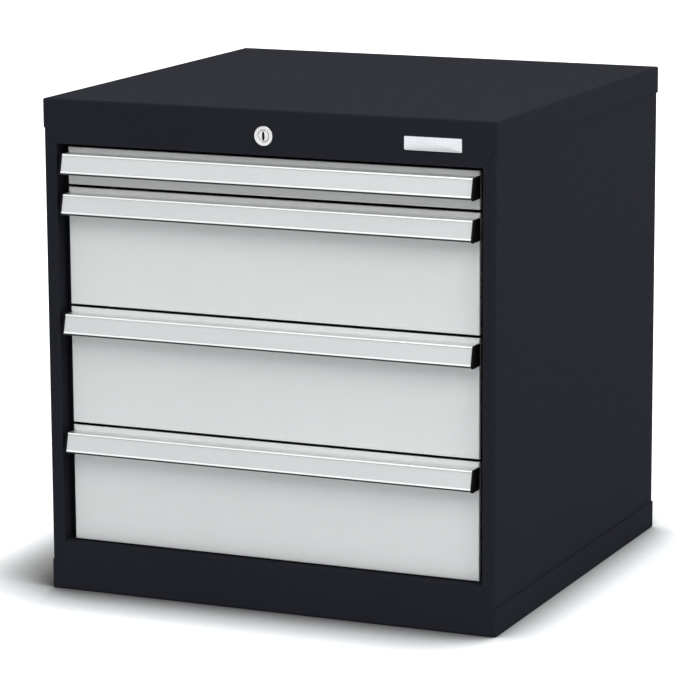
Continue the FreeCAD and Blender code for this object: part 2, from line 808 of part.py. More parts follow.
# Drawer front: folded back at its sides and foot, with a flat hem behind its upper edge
def make_front(drawer):
    label = f"drawer_{drawer.number}_front"
    panel = body(label, (0, front + d.front_recess, drawer.low))
    blank = sketch(panel, label + "_blank", "XZ")
    height = drawer.high - drawer.low
    rectangle(blank, (-front_half, 0), (front_half, height))
    block = pad(panel, label + "_block", blank, d.front_fold, backwards=True)
    shell = hollow(panel, label + "_shell", block, d.front_sheet,
                   lambda face: lies_at(face, "y", d.front_fold) or lies_at(face, "z", height))
    fold = sketch(panel, label + "_hem_outline", "XZ")
    inside = front_half - d.front_sheet
    rectangle(fold, (-inside, height - d.front_hem), (inside, height))
    hemmed = pad(panel, label + "_hem", fold, 2 * d.front_sheet, backwards=True)
    fillet(panel, label + "_bends", hemmed, smaller(d.front_bend, 0.95 * d.front_sheet),
           lambda edge: level(edge, "y", 0))
    node(label, panel)


# Tray: a folded base with both sides and two end walls welded on, each hemmed inwards at its top
def make_tray(drawer):
    label = f"drawer_{drawer.number}_tray"
    sheet = d.tray_sheet
    wall = 2 * sheet
    top = drawer.tray_height
    hem = top - d.tray_hem
    base = body(label + "_base", (0, tray_start + sheet, drawer.tray_low))
    section = sketch(base, label + "_section", "XZ")
    zero = as_size(0)
    right = [
        (tray_half, zero),
        (tray_half, top),
        (tray_half - wall, top),
        (tray_half - wall, hem),
        (tray_half - sheet, hem),
        (tray_half - sheet, sheet),
    ]
    left = [(-across, up) for across, up in reversed(right)]
    outline(section, right + left)
    folded = pad(base, label + "_folded", section, tray_depth - wall, backwards=True)
    fillet(base, label + "_bends", folded, smaller(d.tray_bend, 0.95 * sheet),
           lambda edge: level(edge, "z", 0)
           and (level(edge, "x", tray_half) or level(edge, "x", -tray_half)))
    walls = []
    for name, plate_span, hem_span in (
        ("front", (tray_start, tray_start + sheet), (tray_start + sheet, tray_start + wall)),
        ("rear", (tray_end - sheet, tray_end), (tray_end - wall, tray_end - sheet)),
    ):
        plate = box(f"{label}_{name}_plate", (-tray_half, plate_span[0], drawer.tray_low),
                    (tray_half, plate_span[1], drawer.tray_low + top))
        fold = box(f"{label}_{name}_hem", (wall - tray_half, hem_span[0], drawer.tray_low + hem),
                   (tray_half - wall, hem_span[1], drawer.tray_low + top))
        walls.append(fuse(f"{label}_{name}_wall", [plate, fold]))
    node(label, group(label, [base] + walls))


# Points on the grip strip's sloping face: down along it, and inwards from it
face_run = d.foot_reach - d.ledge_reach
face_length = root(face_run * face_run + d.handle_face * d.handle_face)


def on_face(down, inwards):
    reach = d.ledge_reach + (down * face_run - inwards * d.handle_face) / face_length
    drop = d.handle_drop + (down * d.handle_face + inwards * face_run) / face_length
    return (-reach, -drop)


# Grip strip: an extrusion with a wall on the front, a ledge, and a sloping face with a label channel
def make_handle(drawer):
    label = f"drawer_{drawer.number}_handle"
    strip = body(label, (0, front + d.front_recess, drawer.high))
    profile = sketch(strip, label + "_profile", "YZ")
    border = d.channel_border
    lip = border + d.channel_overlap
    zero = as_size(0)
    foot = -(d.handle_drop + d.handle_face + d.grip_lip_drop)
    foot_out = -(d.foot_reach - d.grip_lip_back)
    inner_foot = on_face(face_length, d.handle_wall)
    under_ledge = d.handle_drop + d.handle_ledge
    inner_top_down = (d.handle_ledge * face_length - d.handle_wall * face_run) / d.handle_face
    outline(profile, [
        (0, -d.handle_drop),
        (-d.ledge_reach, -d.handle_drop),
        on_face(lip, zero),
        on_face(lip, d.channel_lip),
        on_face(border, d.channel_lip),
        on_face(border, d.channel_depth),
        on_face(face_length - border, d.channel_depth),
        on_face(face_length - border, d.channel_lip),
        on_face(face_length - lip, d.channel_lip),
        on_face(face_length - lip, zero),
        (-d.foot_reach, -(d.handle_drop + d.handle_face)),
        (foot_out, foot),
        (foot_out + d.grip_lip_back, foot),
        inner_foot,
        on_face(inner_top_down, d.handle_wall),
        (-d.handle_web, -under_ledge),
        (-d.handle_web, -(d.handle_drop + d.handle_web_height)),
        (0, -(d.handle_drop + d.handle_web_height)),
    ])
    run = pad(strip, label + "_run", profile, 2 * strip_half, midplane=True)
    corner = d.channel_lip
    fillet(strip, label + "_edges", run, corner, lambda edge: (
        (level(edge, "y", -d.ledge_reach) and level(edge, "z", -d.handle_drop))
        or (level(edge, "y", -d.foot_reach)
            and level(edge, "z", -(d.handle_drop + d.handle_face)))
        or (level(edge, "y", foot_out) and level(edge, "z", foot))))
    node(label, strip)


# Label insert, between the channel's floor and its lips
def make_label(drawer):
    label = f"drawer_{drawer.number}_label"
    insert = body(label, (0, front + d.front_recess, drawer.high))
    profile = sketch(insert, label + "_profile", "YZ")
    upper = d.channel_border + d.label_gap
    lower = face_length - upper
    outer = d.channel_lip + d.label_gap
    inner = outer + d.label_sheet
    outline(profile, [
        on_face(upper, outer),
        on_face(lower, outer),
        on_face(lower, inner),
        on_face(upper, inner),
    ])
    pad(insert, label + "_run", profile, 2 * (strip_half - d.label_gap), midplane=True)
    node(label, insert)


# End caps: a plate over each end of the strip, with a sunk panel and a plug inside the strip
def cap_outline(inset):
    step = inset - d.cap_margin
    bottom = d.handle_drop + d.handle_web_height - inset
    return [
        (-inset, -(d.handle_drop + step)),
        (-(d.ledge_reach - step), -(d.handle_drop + step)),
        (-(d.foot_reach - step), -(d.handle_drop + d.handle_face)),
        (-(d.foot_reach - d.grip_lip_back - step), -bottom),
        (-inset, -bottom),
    ]


def make_end_caps(drawer):
    label = f"drawer_{drawer.number}_end_caps"
    cap = body(label + "_cap", (0, front + d.front_recess, drawer.high))
    plate = sketch(cap, label + "_plate_outline", "YZ", strip_half)
    outline(plate, cap_outline(as_size(0)))
    pad(cap, label + "_plate", plate, d.cap_sheet)
    sunk = sketch(cap, label + "_panel_outline", "YZ", strip_half + d.cap_sheet)
    outline(sunk, cap_outline(d.cap_rim))
    pocket(cap, label + "_panel", sunk, d.cap_recess)
    plug = sketch(cap, label + "_plug_outline", "YZ", strip_half)
    near_web = d.handle_web + d.running_gap
    top = d.handle_drop + d.handle_ledge + d.running_gap
    reach = d.ledge_reach - d.handle_wall - d.handle_ledge
    rectangle(plug, (-reach, -(top + d.handle_web_height / 2)), (-near_web, -top))
    pad(cap, label + "_plug", plug, d.cap_plug, backwards=True)
    pair(label, cap)


# Lock catch: a hook open downwards on the back of a tray
def make_catch(drawer):
    label = f"drawer_{drawer.number}_catch"
    half = d.catch_width / 2
    top = drawer.catch + d.catch_sheet
    end = tray_end + d.catch_reach
    plate = box(label + "_plate", (-half, tray_end, drawer.catch - d.catch_drop),
                (half, tray_end + d.catch_sheet, top))
    leg = box(label + "_leg", (-half, tray_end, drawer.catch), (half, end, top))
    lip = box(label + "_lip", (-half, end - d.catch_sheet, drawer.catch - d.catch_lip),
              (half, end, top))
    node(label, fuse(label, [plate, leg, lip]))


def make_drawer(drawer):
    make_front(drawer)
    make_tray(drawer)
    make_handle(drawer)
    make_label(drawer)
    make_end_caps(drawer)
    make_catch(drawer)
    make_slide(drawer)


# Lock housing: a ring on the header, a threaded body behind it and the barrel's bore
def make_lock_housing():
    face = front - d.lock_ring_proud
    ring = cylinder("lock_ring", (0, face, lock_height), d.lock_ring, d.lock_ring_proud, "y")
    shank = cylinder("lock_shank", (0, front, lock_height), d.lock_body, d.lock_depth, "y")
    bore = cylinder("lock_bore", (0, face, lock_height), d.barrel_diameter + 2 * d.barrel_play,
                    d.lock_ring_proud + d.lock_depth, "y")
    turned_body = fuse("lock_turned", [ring, shank])
    node("lock_housing", cut("lock_housing", turned_body, [bore]))


def make_lock_nut():
    blank = doc.addObject("Part::Prism", "nut_blank")
    blank.Polygon = 6
    bind(blank, "Circumradius", d.nut_width / 2)
    bind(blank, "Height", d.nut_height)
    seat = front + d.case_sheet
    turned(blank, (0, seat, lock_height), "y")
    bore = cylinder("nut_bore", (0, seat, lock_height), d.lock_body + 2 * d.barrel_play,
                    d.nut_height, "y")
    node("lock_nut", cut("lock_nut", blank, [bore]))


barrel_face = front - d.lock_ring_proud + d.barrel_sink
barrel_end = front + d.lock_depth + d.keyway_width


def make_lock_barrel():
    core = cylinder("barrel_core", (0, barrel_face, lock_height), d.barrel_diameter,
                    barrel_end - barrel_face, "y")
    keyway = box("keyway",
                 (-d.keyway_width / 2, barrel_face, lock_height - d.keyway_height / 2),
                 (d.keyway_width / 2, barrel_face + d.keyway_depth, lock_height + d.keyway_height / 2))
    node("lock_barrel", cut("lock_barrel", core, [keyway]))


# Rod from the barrel to the rear, with the crank that lifts the bar
def make_lock_rod():
    rod = cylinder("rod", (0, barrel_end, lock_height), d.rod_diameter, crank_rear - barrel_end, "y")
    disc = cylinder("crank_plate", (0, crank_front, lock_height), d.crank_disc, d.bar_sheet, "y")
    pin_place = (-eighth_turn * d.crank_radius, crank_front, slot_height)
    pin = cylinder("crank_pin_stud", pin_place, d.crank_pin, bar_rear + d.bar_sheet - crank_front, "y")
    node("lock_rod", fuse("lock_rod", [rod, disc, pin]))


# Foot of a drawer's tooth, and the guide of the bar under it
def tooth_base(drawer):
    return drawer.catch - 2 * d.catch_lip - d.tooth_clearance


def guide_height(drawer):
    return tooth_base(drawer) - d.guide_drop


# Lock bar: a flat bar with a slotted head, and an angle bracket as the tooth under each catch
def make_lock_bar():
    half = d.bar_width / 2
    slot_half = d.crank_pin / 2 + d.crank_play
    slot_near = -(eighth_turn * d.crank_radius - slot_half)
    slot_far = -(d.crank_radius + slot_half)
    head_low = slot_height - slot_half - d.bar_head_rim
    head_high = slot_height + slot_half + d.bar_head_rim
    foot = guide_height(drawers[-1]) - d.bar_tail
    strap = box("bar_strap", (-half, bar_front, foot), (half, bar_rear, head_high))
    head = box("bar_head", (slot_far - d.bar_head_rim, bar_front, head_low),
               (half, bar_rear, head_high))
    slot = box("bar_slot", (slot_far, bar_front, slot_height - slot_half),
               (slot_near, bar_rear, slot_height + slot_half))
    bar = cut("bar", fuse("bar_steel", [strap, head]), [slot])
    tooth = d.tooth_width / 2
    lip_front = tray_end + d.catch_reach - d.catch_sheet - d.catch_play - d.tooth_sheet
    teeth = []
    for drawer in drawers:
        tip = drawer.catch - d.catch_lip - d.tooth_clearance
        base = tooth_base(drawer)
        name = f"tooth_{drawer.number}"
        lip = box(name + "_lip", (-tooth, lip_front, base), (tooth, lip_front + d.tooth_sheet, tip))
        leg = box(name + "_leg", (-tooth, lip_front, base - d.tooth_sheet), (tooth, bar_front, base))
        flange = box(name + "_flange", (-tooth, bar_front - d.tooth_sheet, base - d.tooth_flange),
                     (tooth, bar_front, base))
        teeth.append(fuse(name, [lip, leg, flange]))
    node("lock_bar", group("lock_bar", [bar] + teeth))


# Brackets: one that carries the rod under the cover, and two that guide the bar on the back panel
def make_lock_guides():
    half = d.guide_width / 2
    under = d.cabinet_height - d.case_sheet
    hanger_front = tray_end + d.bearing_setback
    hanger_rear = hanger_front + d.guide_sheet
    plate = box("hanger_plate", (-half, hanger_front, lock_height - d.rod_diameter),
                (half, hanger_rear, under))
    foot = box("hanger_foot", (-half, hanger_front - d.guide_flange, under - d.guide_sheet),
               (half, hanger_rear, under))
    bore = cylinder("hanger_bore", (0, hanger_front, lock_height), d.rod_diameter + 2 * d.fit_gap,
                    d.guide_sheet, "y")
    brackets = [cut("rod_hanger", fuse("hanger_steel", [plate, foot]), [bore])]
    wall = side_rear - d.case_sheet - d.back_sheet
    play = d.running_gap
    for name, drawer in (("lower", drawers[-1]), ("upper", drawers[1])):
        height = guide_height(drawer)
        leg = box(name + "_leg", (-half, bar_front - d.guide_lip, height),
                  (half, wall, height + d.guide_sheet))
        flange = box(name + "_flange", (-half, wall - d.guide_sheet, height),
                     (half, wall, height + d.guide_flange))
        window = box(name + "_window",
                     (-(d.bar_width / 2 + play), bar_front - play, height),
                     (d.bar_width / 2 + play, bar_rear + play, height + d.guide_sheet))
        brackets.append(cut(name + "_guide", fuse(name + "_guide_steel", [leg, flange]), [window]))
    node("lock_guides", group("lock_guides", brackets))


# Blank name plate with rounded corners
def make_name_plate():
    plate = body("name_plate", (half_width - d.plate_inset, front, d.cabinet_height - d.plate_drop))
    face = sketch(plate, "plate_outline", "XZ")
    across = d.plate_width / 2
    up = d.plate_height / 2
    rectangle(face, (-across, -up), (across, up))
    blank = pad(plate, "plate_blank", face, d.plate_sheet)
    fillet(plate, "plate_corners", blank, d.plate_corner, lambda edge: (
        near(abs(edge.tangentAt(edge.FirstParameter).y), 1)))
    node("name_plate", plate)


make_top_cover()
make_base_pan()
make_side_panels()
make_back()
make_uprights("front_uprights", front + d.upright_setback)
make_uprights("rear_uprights", slide_end - d.upright_depth)
make_rail_screws()
make_name_plate()
make_lock_housing()
make_lock_nut()
make_lock_barrel()
make_lock_rod()
make_lock_bar()
make_lock_guides()
for drawer in drawers:
    make_drawer(drawer)
doc.recompute()

# Nothing is written unless every object and every piece came out whole
failed = [item.Name for item in doc.Objects if {"Invalid", "Error"} & set(item.State)]
if failed:
    raise RuntimeError("failed: " + ", ".join(failed))
for piece in pieces:
    if piece.Shape.isNull() or not piece.Shape.isValid() or not piece.Shape.Solids:
        raise RuntimeError(piece.Label + " has no valid solid")

os.makedirs("parts", exist_ok=True)
for piece in pieces:
    piece.Shape.exportStep(f"parts/{piece.Label}.step")
print(len(pieces), "pieces, bar travel", round(bar_travel.value, 3), "mm")
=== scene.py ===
import math
import bmesh
import bpy
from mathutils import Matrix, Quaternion, Vector


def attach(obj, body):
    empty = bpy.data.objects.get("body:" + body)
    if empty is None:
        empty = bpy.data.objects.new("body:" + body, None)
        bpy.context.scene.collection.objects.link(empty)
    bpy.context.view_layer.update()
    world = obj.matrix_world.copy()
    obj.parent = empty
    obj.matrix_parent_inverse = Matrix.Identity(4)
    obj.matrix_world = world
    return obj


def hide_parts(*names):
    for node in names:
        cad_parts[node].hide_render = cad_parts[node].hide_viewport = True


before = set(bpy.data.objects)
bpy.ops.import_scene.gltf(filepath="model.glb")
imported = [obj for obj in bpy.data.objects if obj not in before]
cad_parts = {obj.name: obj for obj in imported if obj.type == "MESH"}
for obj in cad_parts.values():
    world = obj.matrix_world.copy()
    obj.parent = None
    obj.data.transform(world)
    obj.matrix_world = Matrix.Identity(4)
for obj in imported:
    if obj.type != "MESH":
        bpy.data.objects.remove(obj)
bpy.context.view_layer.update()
print("frame loaded:", len(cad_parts), "nodes")

mm = 0.001
drawerNumbers = range(1, 5)


class Signal:
    # a node's output that takes part in sums: each operator adds a Math node
    def __init__(self, maker, socket):
        self.maker = maker
        self.socket = socket

    def maths(self, operation, first, second):
        return self.maker.signal("ShaderNodeMath", {"operation": operation}, {0: first, 1: second})

    def __add__(self, other):
        return self.maths("ADD", self, other)

    def __radd__(self, other):
        return self.maths("ADD", other, self)

    def __sub__(self, other):
        return self.maths("SUBTRACT", self, other)

    def __rsub__(self, other):
        return self.maths("SUBTRACT", other, self)

    def __mul__(self, other):
        return self.maths("MULTIPLY", self, other)

    def __rmul__(self, other):
        return self.maths("MULTIPLY", other, self)

    def __pow__(self, other):
        return self.maths("POWER", self, other)


class Maker:
    # adds nodes to one tree; every node but a Math node comes from its node method
    def __init__(self, tree):
        self.tree = tree

    def node(self, kind, settings=None, sockets=None):
        made = self.tree.nodes.new(kind)
        for name, value in (settings or {}).items():
            if name == "stops":
                ramp = made.color_ramp.elements
                while len(ramp) < len(value):
                    ramp.new(1.0)
                for stop, (place, colour) in zip(ramp, value):
                    stop.position, stop.color = place, colour
            else:
                setattr(made, name, value)
        for name, value in (sockets or {}).items():
            if isinstance(value, Signal):
                value = [value]
            if isinstance(value, list):  # a list goes to a socket that takes several links
                for link in value:
                    self.tree.links.new(link.socket, made.inputs[name])
            else:
                made.inputs[name].default_value = value
        return made

    def signal(self, kind, settings=None, sockets=None, output=0):
        return Signal(self, self.node(kind, settings, sockets).outputs[output])


# Finishes: each is a dictionary of what a user would change and a few nodes

def newMaterial(name):
    material = bpy.data.materials.new(name)
    material.use_nodes = True
    material.node_tree.nodes.clear()
    return material, Maker(material.node_tree)


def objectPlace(maker):
    return maker.signal("ShaderNodeTexCoord", output="Object")


def stretched(maker, place, scale):
    return maker.signal("ShaderNodeMapping", sockets={"Vector": place, "Scale": scale})


def cloud(maker, place, scale, detail=2.0):
    return maker.signal("ShaderNodeTexNoise", {"noise_dimensions": "3D"},
                        {"Vector": place, "Scale": scale, "Detail": detail, "Roughness": 0.55})


def tinted(maker, amount, dark, light):
    return maker.signal("ShaderNodeMix", {"data_type": "RGBA"},
                        {0: amount, 6: (*dark, 1), 7: (*light, 1)}, output=2)


def shaded(maker, sockets):
    shader = maker.node("ShaderNodeBsdfPrincipled", sockets=sockets)
    maker.node("ShaderNodeOutputMaterial", sockets={"Surface": Signal(maker, shader.outputs[0])})


def raised(maker, height, strength, distance):
    return maker.signal("ShaderNodeBump", sockets={"Height": height, "Strength": strength,
                                                   "Distance": distance * mm})


def powderCoat(name, look):
    # sprayed and baked: a faint orange peel and slow clouds of tone
    material, maker = newMaterial(name)
    place = objectPlace(maker)
    drift = cloud(maker, place, look["driftScale"])
    peel = cloud(maker, place, look["peelScale"], 1.0)
    speck = cloud(maker, place, look["speckScale"], 0.0)
    tone = drift * 0.7 + speck * 0.3
    shaded(maker, {
        "Base Color": tinted(maker, tone, look["dark"], look["light"]),
        "Roughness": look["roughness"] + (drift - 0.5) * look["roughnessDrift"],
        "Specular IOR Level": look["specular"],
        "Normal": raised(maker, peel, look["peelStrength"], look["peelHeight"])})
    return material


caseLook = {
    "dark": (0.0138, 0.0144, 0.0184), "light": (0.0173, 0.0180, 0.0230),
    "roughness": 0.60, "roughnessDrift": 0.06, "specular": 0.003,
    "driftScale": 5.0, "peelScale": 620.0, "speckScale": 2400.0, "peelStrength": 0.80, "peelHeight": 0.60,
}
drawerLook = {
    "dark": (0.608, 0.614, 0.604), "light": (0.666, 0.673, 0.662),
    "roughness": 0.42, "roughnessDrift": 0.06, "specular": 0.35,
    "driftScale": 4.0, "peelScale": 560.0, "speckScale": 2200.0, "peelStrength": 0.35, "peelHeight": 0.45,
}
caseCoat = powderCoat("caseCoat", caseLook)
drawerCoat = powderCoat("drawerCoat", drawerLook)


def metal(name, look):
    # drawn, brushed or plated metal: fine lines along one way, or even where the stretch is even
    material, maker = newMaterial(name)
    place = objectPlace(maker)
    lines = cloud(maker, stretched(maker, place, look["lineScale"]), 1.0, 3.0)
    drift = cloud(maker, place, look["driftScale"])
    colour = tinted(maker, lines * 0.6 + drift * 0.4, look["dark"], look["light"])
    # painted shade: faces turned down blend to a near-black colour, standing in for the shade under a
    # strip's lower lip
    if "underside" in look:
        facing = maker.node("ShaderNodeSeparateXYZ", sockets={
            0: maker.signal("ShaderNodeNewGeometry", output="Normal")})
        paintedShadeMask = maker.signal("ShaderNodeValToRGB", {"stops": (
            (look["underside"][0], (0, 0, 0, 1)), (look["underside"][1], (1, 1, 1, 1)))},
            {0: 0 - Signal(maker, facing.outputs[2])})
        colour = maker.signal("ShaderNodeMix", {"data_type": "RGBA"},
                              {0: paintedShadeMask, 6: colour, 7: (*look["undersideColour"], 1)}, output=2)
    shaded(maker, {
        "Base Color": colour,
        "Metallic": 1.0,
        "Roughness": look["roughness"] + (lines - 0.5) * look["lineRoughness"],
        "Normal": raised(maker, lines, look["lineStrength"], look["lineHeight"])})
    return material


stripLook = {
    "dark": (0.76, 0.77, 0.775), "light": (0.94, 0.95, 0.945), "roughness": 0.36, "lineRoughness": 0.16,
    "lineScale": (4, 900, 900), "driftScale": 9.0, "lineStrength": 0.12, "lineHeight": 0.08,
    # faces whose normal points down are painted dark, as the shade under the strip's lower lip
    "underside": (0.05, 0.30), "undersideColour": (0.05, 0.05, 0.053),
}
plateLook = {
    "dark": (0.38, 0.39, 0.41), "light": (0.66, 0.66, 0.68), "roughness": 0.28, "lineRoughness": 0.18,
    "lineScale": (12, 1500, 1500), "driftScale": 30.0, "lineStrength": 0.10, "lineHeight": 0.05,
}
zincLook = {
    "dark": (0.36, 0.38, 0.41), "light": (0.58, 0.59, 0.62), "roughness": 0.34, "lineRoughness": 0.14,
    "lineScale": (220, 40, 220), "driftScale": 45.0, "lineStrength": 0.06, "lineHeight": 0.08,
}
stripMetal = metal("stripMetal", stripLook)
plateMetal = metal("plateMetal", plateLook)
zincPlate = metal("zincPlate", zincLook)


def lockMetal(name, look):
    # lathe rings round the lock's axis, and painted shade, a dark band of colour, in the groove between
    # ring and barrel
    material, maker = newMaterial(name)
    flat = maker.signal("ShaderNodeMapping", sockets={
        "Vector": objectPlace(maker), "Location": (0, 0, -look["axis"] * mm), "Scale": (1, 0, 1)})
    radius = maker.signal("ShaderNodeVectorMath", {"operation": "LENGTH"}, {0: flat}, output="Value")
    rings = maker.signal("ShaderNodeTexNoise", {"noise_dimensions": "1D"},
                         {"W": radius, "Scale": look["ringScale"], "Detail": 3.0})
    groove = maker.signal("ShaderNodeValToRGB", {"stops": look["groove"]}, {0: radius * look["perMetre"]})
    bright = tinted(maker, rings, look["dark"], look["light"])
    shaded(maker, {
        "Base Color": maker.signal("ShaderNodeMix", {"data_type": "RGBA"},
                                   {0: groove, 6: bright, 7: (*look["paintedGrooveShade"], 1)}, output=2),
        "Metallic": 1.0,
        "Roughness": look["roughness"] + (rings - 0.5) * look["ringRoughness"],
        "Normal": raised(maker, rings, look["ringStrength"], look["ringHeight"])})
    return material


lockLook = {
    # the near-black colour here is painted shade for the groove between ring and barrel, placed by radius
    # with the ramp below
    "axis": 588.5, "dark": (0.40, 0.40, 0.39), "light": (0.67, 0.67, 0.66), "paintedGrooveShade": (0.10, 0.10, 0.10),
    "roughness": 0.30, "ringRoughness": 0.2, "ringScale": 2600.0, "ringStrength": 0.12, "ringHeight": 0.05,
    "perMetre": 50,  # the ramp below runs over a radius of 20 mm
    "groove": ((0.335, (0, 0, 0, 1)), (0.352, (1, 1, 1, 1)), (0.368, (1, 1, 1, 1)), (0.385, (0, 0, 0, 1))),
}
# the keyway's inner faces get a near-black metal: painted shade inside the slot
keywayShadeLook = {
    "dark": (0.010, 0.010, 0.010), "light": (0.030, 0.028, 0.024), "roughness": 0.5, "lineRoughness": 0.1,
    "lineScale": (900, 900, 900), "driftScale": 200.0, "lineStrength": 0.05, "lineHeight": 0.05,
}
nickel = lockMetal("nickel", lockLook)
keywayPaintedShade = metal("keywayPaintedShade", keywayShadeLook)


def grainedPlastic(name, look):
    # moulded with a fine spark-eroded grain
    material, maker = newMaterial(name)
    place = objectPlace(maker)
    grain = cloud(maker, place, look["grainScale"], 2.0)
    drift = cloud(maker, place, look["driftScale"])
    shaded(maker, {
        "Base Color": tinted(maker, drift, look["dark"], look["light"]),
        "Roughness": look["roughness"] + (1 - grain) * look["grainRoughness"],
        "Specular IOR Level": look["specular"],
        "Normal": raised(maker, grain, look["grainStrength"], look["grainHeight"])})
    return material


capLook = {
    "dark": (0.0025, 0.0025, 0.0028), "light": (0.0050, 0.0050, 0.0055), "roughness": 0.42,
    "grainRoughness": 0.16, "specular": 0.05, "grainScale": 1500.0, "driftScale": 40.0,
    "grainStrength": 0.22, "grainHeight": 0.08,
}
capPlastic = grainedPlastic("capPlastic", capLook)


def labelCard(name, look):
    # a paper card behind a clear strip: the clear strip is the coat
    material, maker = newMaterial(name)
    place = objectPlace(maker)
    fibres = cloud(maker, stretched(maker, place, look["fibreScale"]), 1.0, 4.0)
    drift = cloud(maker, place, look["driftScale"])
    shaded(maker, {
        "Base Color": tinted(maker, fibres * 0.5 + drift * 0.5, look["dark"], look["light"]),
        "Roughness": look["roughness"] + (fibres - 0.5) * 0.1,
        "Specular IOR Level": 0.3,
        "Coat Weight": look["coat"],
        "Coat Roughness": look["coatRoughness"],
        "Normal": raised(maker, fibres, look["fibreStrength"], 0.05)})
    return material


cardLook = {
    "dark": (0.515, 0.521, 0.514), "light": (0.592, 0.599, 0.591), "roughness": 0.55, "coat": 0.30,
    "coatRoughness": 0.18, "fibreScale": (60, 900, 900), "driftScale": 7.0, "fibreStrength": 0.05,
}
cardFinish = labelCard("cardFinish", cardLook)
print("finishes made")


# CAD nodes that keep their shape get their finish here

def dress(node, finish):
    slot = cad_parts[node].material_slots[0]
    slot.link = "OBJECT"
    slot.material = finish


caseNodes = ["top_cover", "base_pan", "side_panel_left", "side_panel_right", "back_panel",
             "front_uprights", "rear_uprights"]
zincNodes = ["lock_rod", "lock_guides", "lock_bar"]
for node in caseNodes:
    dress(node, caseCoat)
for node in zincNodes:
    dress(node, zincPlate)
for number in drawerNumbers:
    for part in ("front", "tray"):
        dress(f"drawer_{number}_{part}", drawerCoat)
    dress(f"drawer_{number}_label", cardFinish)
    for part in ("cabinet_rails", "drawer_rails", "middle_rails", "outer_cages", "inner_cages"):
        dress(f"drawer_{number}_{part}", zincPlate)
print("CAD nodes dressed")


# Pieces: every one ends as a plain mesh at the origin

def plainMesh(name, source):
    # the mesh that an object's modifiers make, in a new object without them
    evaluated = source.evaluated_get(bpy.context.evaluated_depsgraph_get())
    mesh = bpy.data.meshes.new_from_object(evaluated)
    mesh.name = name
    bpy.data.objects.remove(source)
    return helper(name, mesh)


def helper(name, mesh):
    made = bpy.data.objects.new(name, mesh)
    bpy.context.scene.collection.objects.link(made)
    return made


def finishPiece(piece, body, finish, node):
    if not piece.data.materials:
        piece.data.materials.append(finish)
    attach(piece, body)
    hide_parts(node)
    print("made", piece.name, len(piece.data.polygons), "faces")


def smoothed(mesh, angle=30):
    mesh.polygons.foreach_set("use_smooth", [True] * len(mesh.polygons))
    mesh.set_sharp_from_angle(angle=math.radians(angle))


def softEdges(source, width, steps=2):
    bevel = source.modifiers.new("softEdges", "BEVEL")
    bevel.width = width * mm
    bevel.segments = steps
    bevel.limit_method = "ANGLE"
    bevel.angle_limit = math.radians(32)
    bevel.harden_normals = True


def softenedCopy(name, node, width, steps=2):
    # a CAD node's shape with its sharp edges broken, as tumbling or deburring leaves them
    shape = bmesh.new()
    shape.from_mesh(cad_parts[node].data)
    bmesh.ops.remove_doubles(shape, verts=shape.verts, dist=1e-6)
    bmesh.ops.dissolve_limit(shape, angle_limit=math.radians(0.5), verts=shape.verts, edges=shape.edges)
    mesh = bpy.data.meshes.new(name)
    shape.to_mesh(mesh)
    shape.free()
    smoothed(mesh)
    source = helper(name + "Source", mesh)
    softEdges(source, width, steps)
    return plainMesh(name, source)


# Grip strips with their labels' channel, and the caps on their ends
stripPiece = {"edge": 0.35, "steps": 2}
capPiece = {"edge": 0.45, "steps": 2}
for number in drawerNumbers:
    strip = softenedCopy(f"drawer_{number}_gripStrip", f"drawer_{number}_handle",
                         stripPiece["edge"], stripPiece["steps"])
    finishPiece(strip, f"drawer_{number}", stripMetal, f"drawer_{number}_handle")
    caps = softenedCopy(f"drawer_{number}_stripCaps", f"drawer_{number}_end_caps",
                        capPiece["edge"], capPiece["steps"])
    finishPiece(caps, f"drawer_{number}", capPlastic, f"drawer_{number}_end_caps")

# Catches behind the trays and the lock's nut
catchPiece = {"edge": 0.3, "steps": 2}
nutPiece = {"edge": 0.6, "steps": 3}
for number in drawerNumbers:
    catch = softenedCopy(f"drawer_{number}_lockCatch", f"drawer_{number}_catch",
                         catchPiece["edge"], catchPiece["steps"])
    finishPiece(catch, f"drawer_{number}", zincPlate, f"drawer_{number}_catch")
nut = softenedCopy("lockNut", "lock_nut", nutPiece["edge"], nutPiece["steps"])
finishPiece(nut, "cabinet", zincPlate, "lock_nut")


def turnedMesh(name, profile, steps):
    # a closed profile of (radius, y) points turned round the lock's axis
    shape = bmesh.new()
    loop = [shape.verts.new((radius * mm, along * mm, 0)) for radius, along in profile]
    edges = [shape.edges.new(ends) for ends in zip(loop, loop[1:] + loop[:1])
             if max(ends[0].co.x, ends[1].co.x) > 0]
    bmesh.ops.spin(shape, geom=loop + edges, axis=(0, 1, 0), cent=(0, 0, 0), steps=steps,
                   angle=math.tau, use_duplicate=False)
    bmesh.ops.remove_doubles(shape, verts=shape.verts, dist=1e-6)
    bmesh.ops.recalc_face_normals(shape, faces=shape.faces)
    mesh = bpy.data.meshes.new(name)
    shape.to_mesh(mesh)
    shape.free()
    smoothed(mesh)
    return mesh


# Lock: a ring with a rolled edge round the barrel, whose keyway is almond-shaped
lockPiece = {
    "height": 588.5, "face": -287.7, "seat": -285.7, "ringRadius": 12.0, "boreRadius": 7.05,
    "shankRadius": 9.5, "shankEnd": -261.7, "edge": 0.8, "steps": 72,
    "barrelRadius": 7.0, "barrelFace": -287.3, "barrelEnd": -259.2,
    "keywayHeight": 11.0, "keywayWidth": 3.4, "keywayDepth": 12.0,
}


def arcPoints(centre, radius, first, last, count):
    return [(centre[0] + radius * math.cos(math.radians(first + (last - first) * step / count)),
             centre[1] + radius * math.sin(math.radians(first + (last - first) * step / count)))
            for step in range(count + 1)]


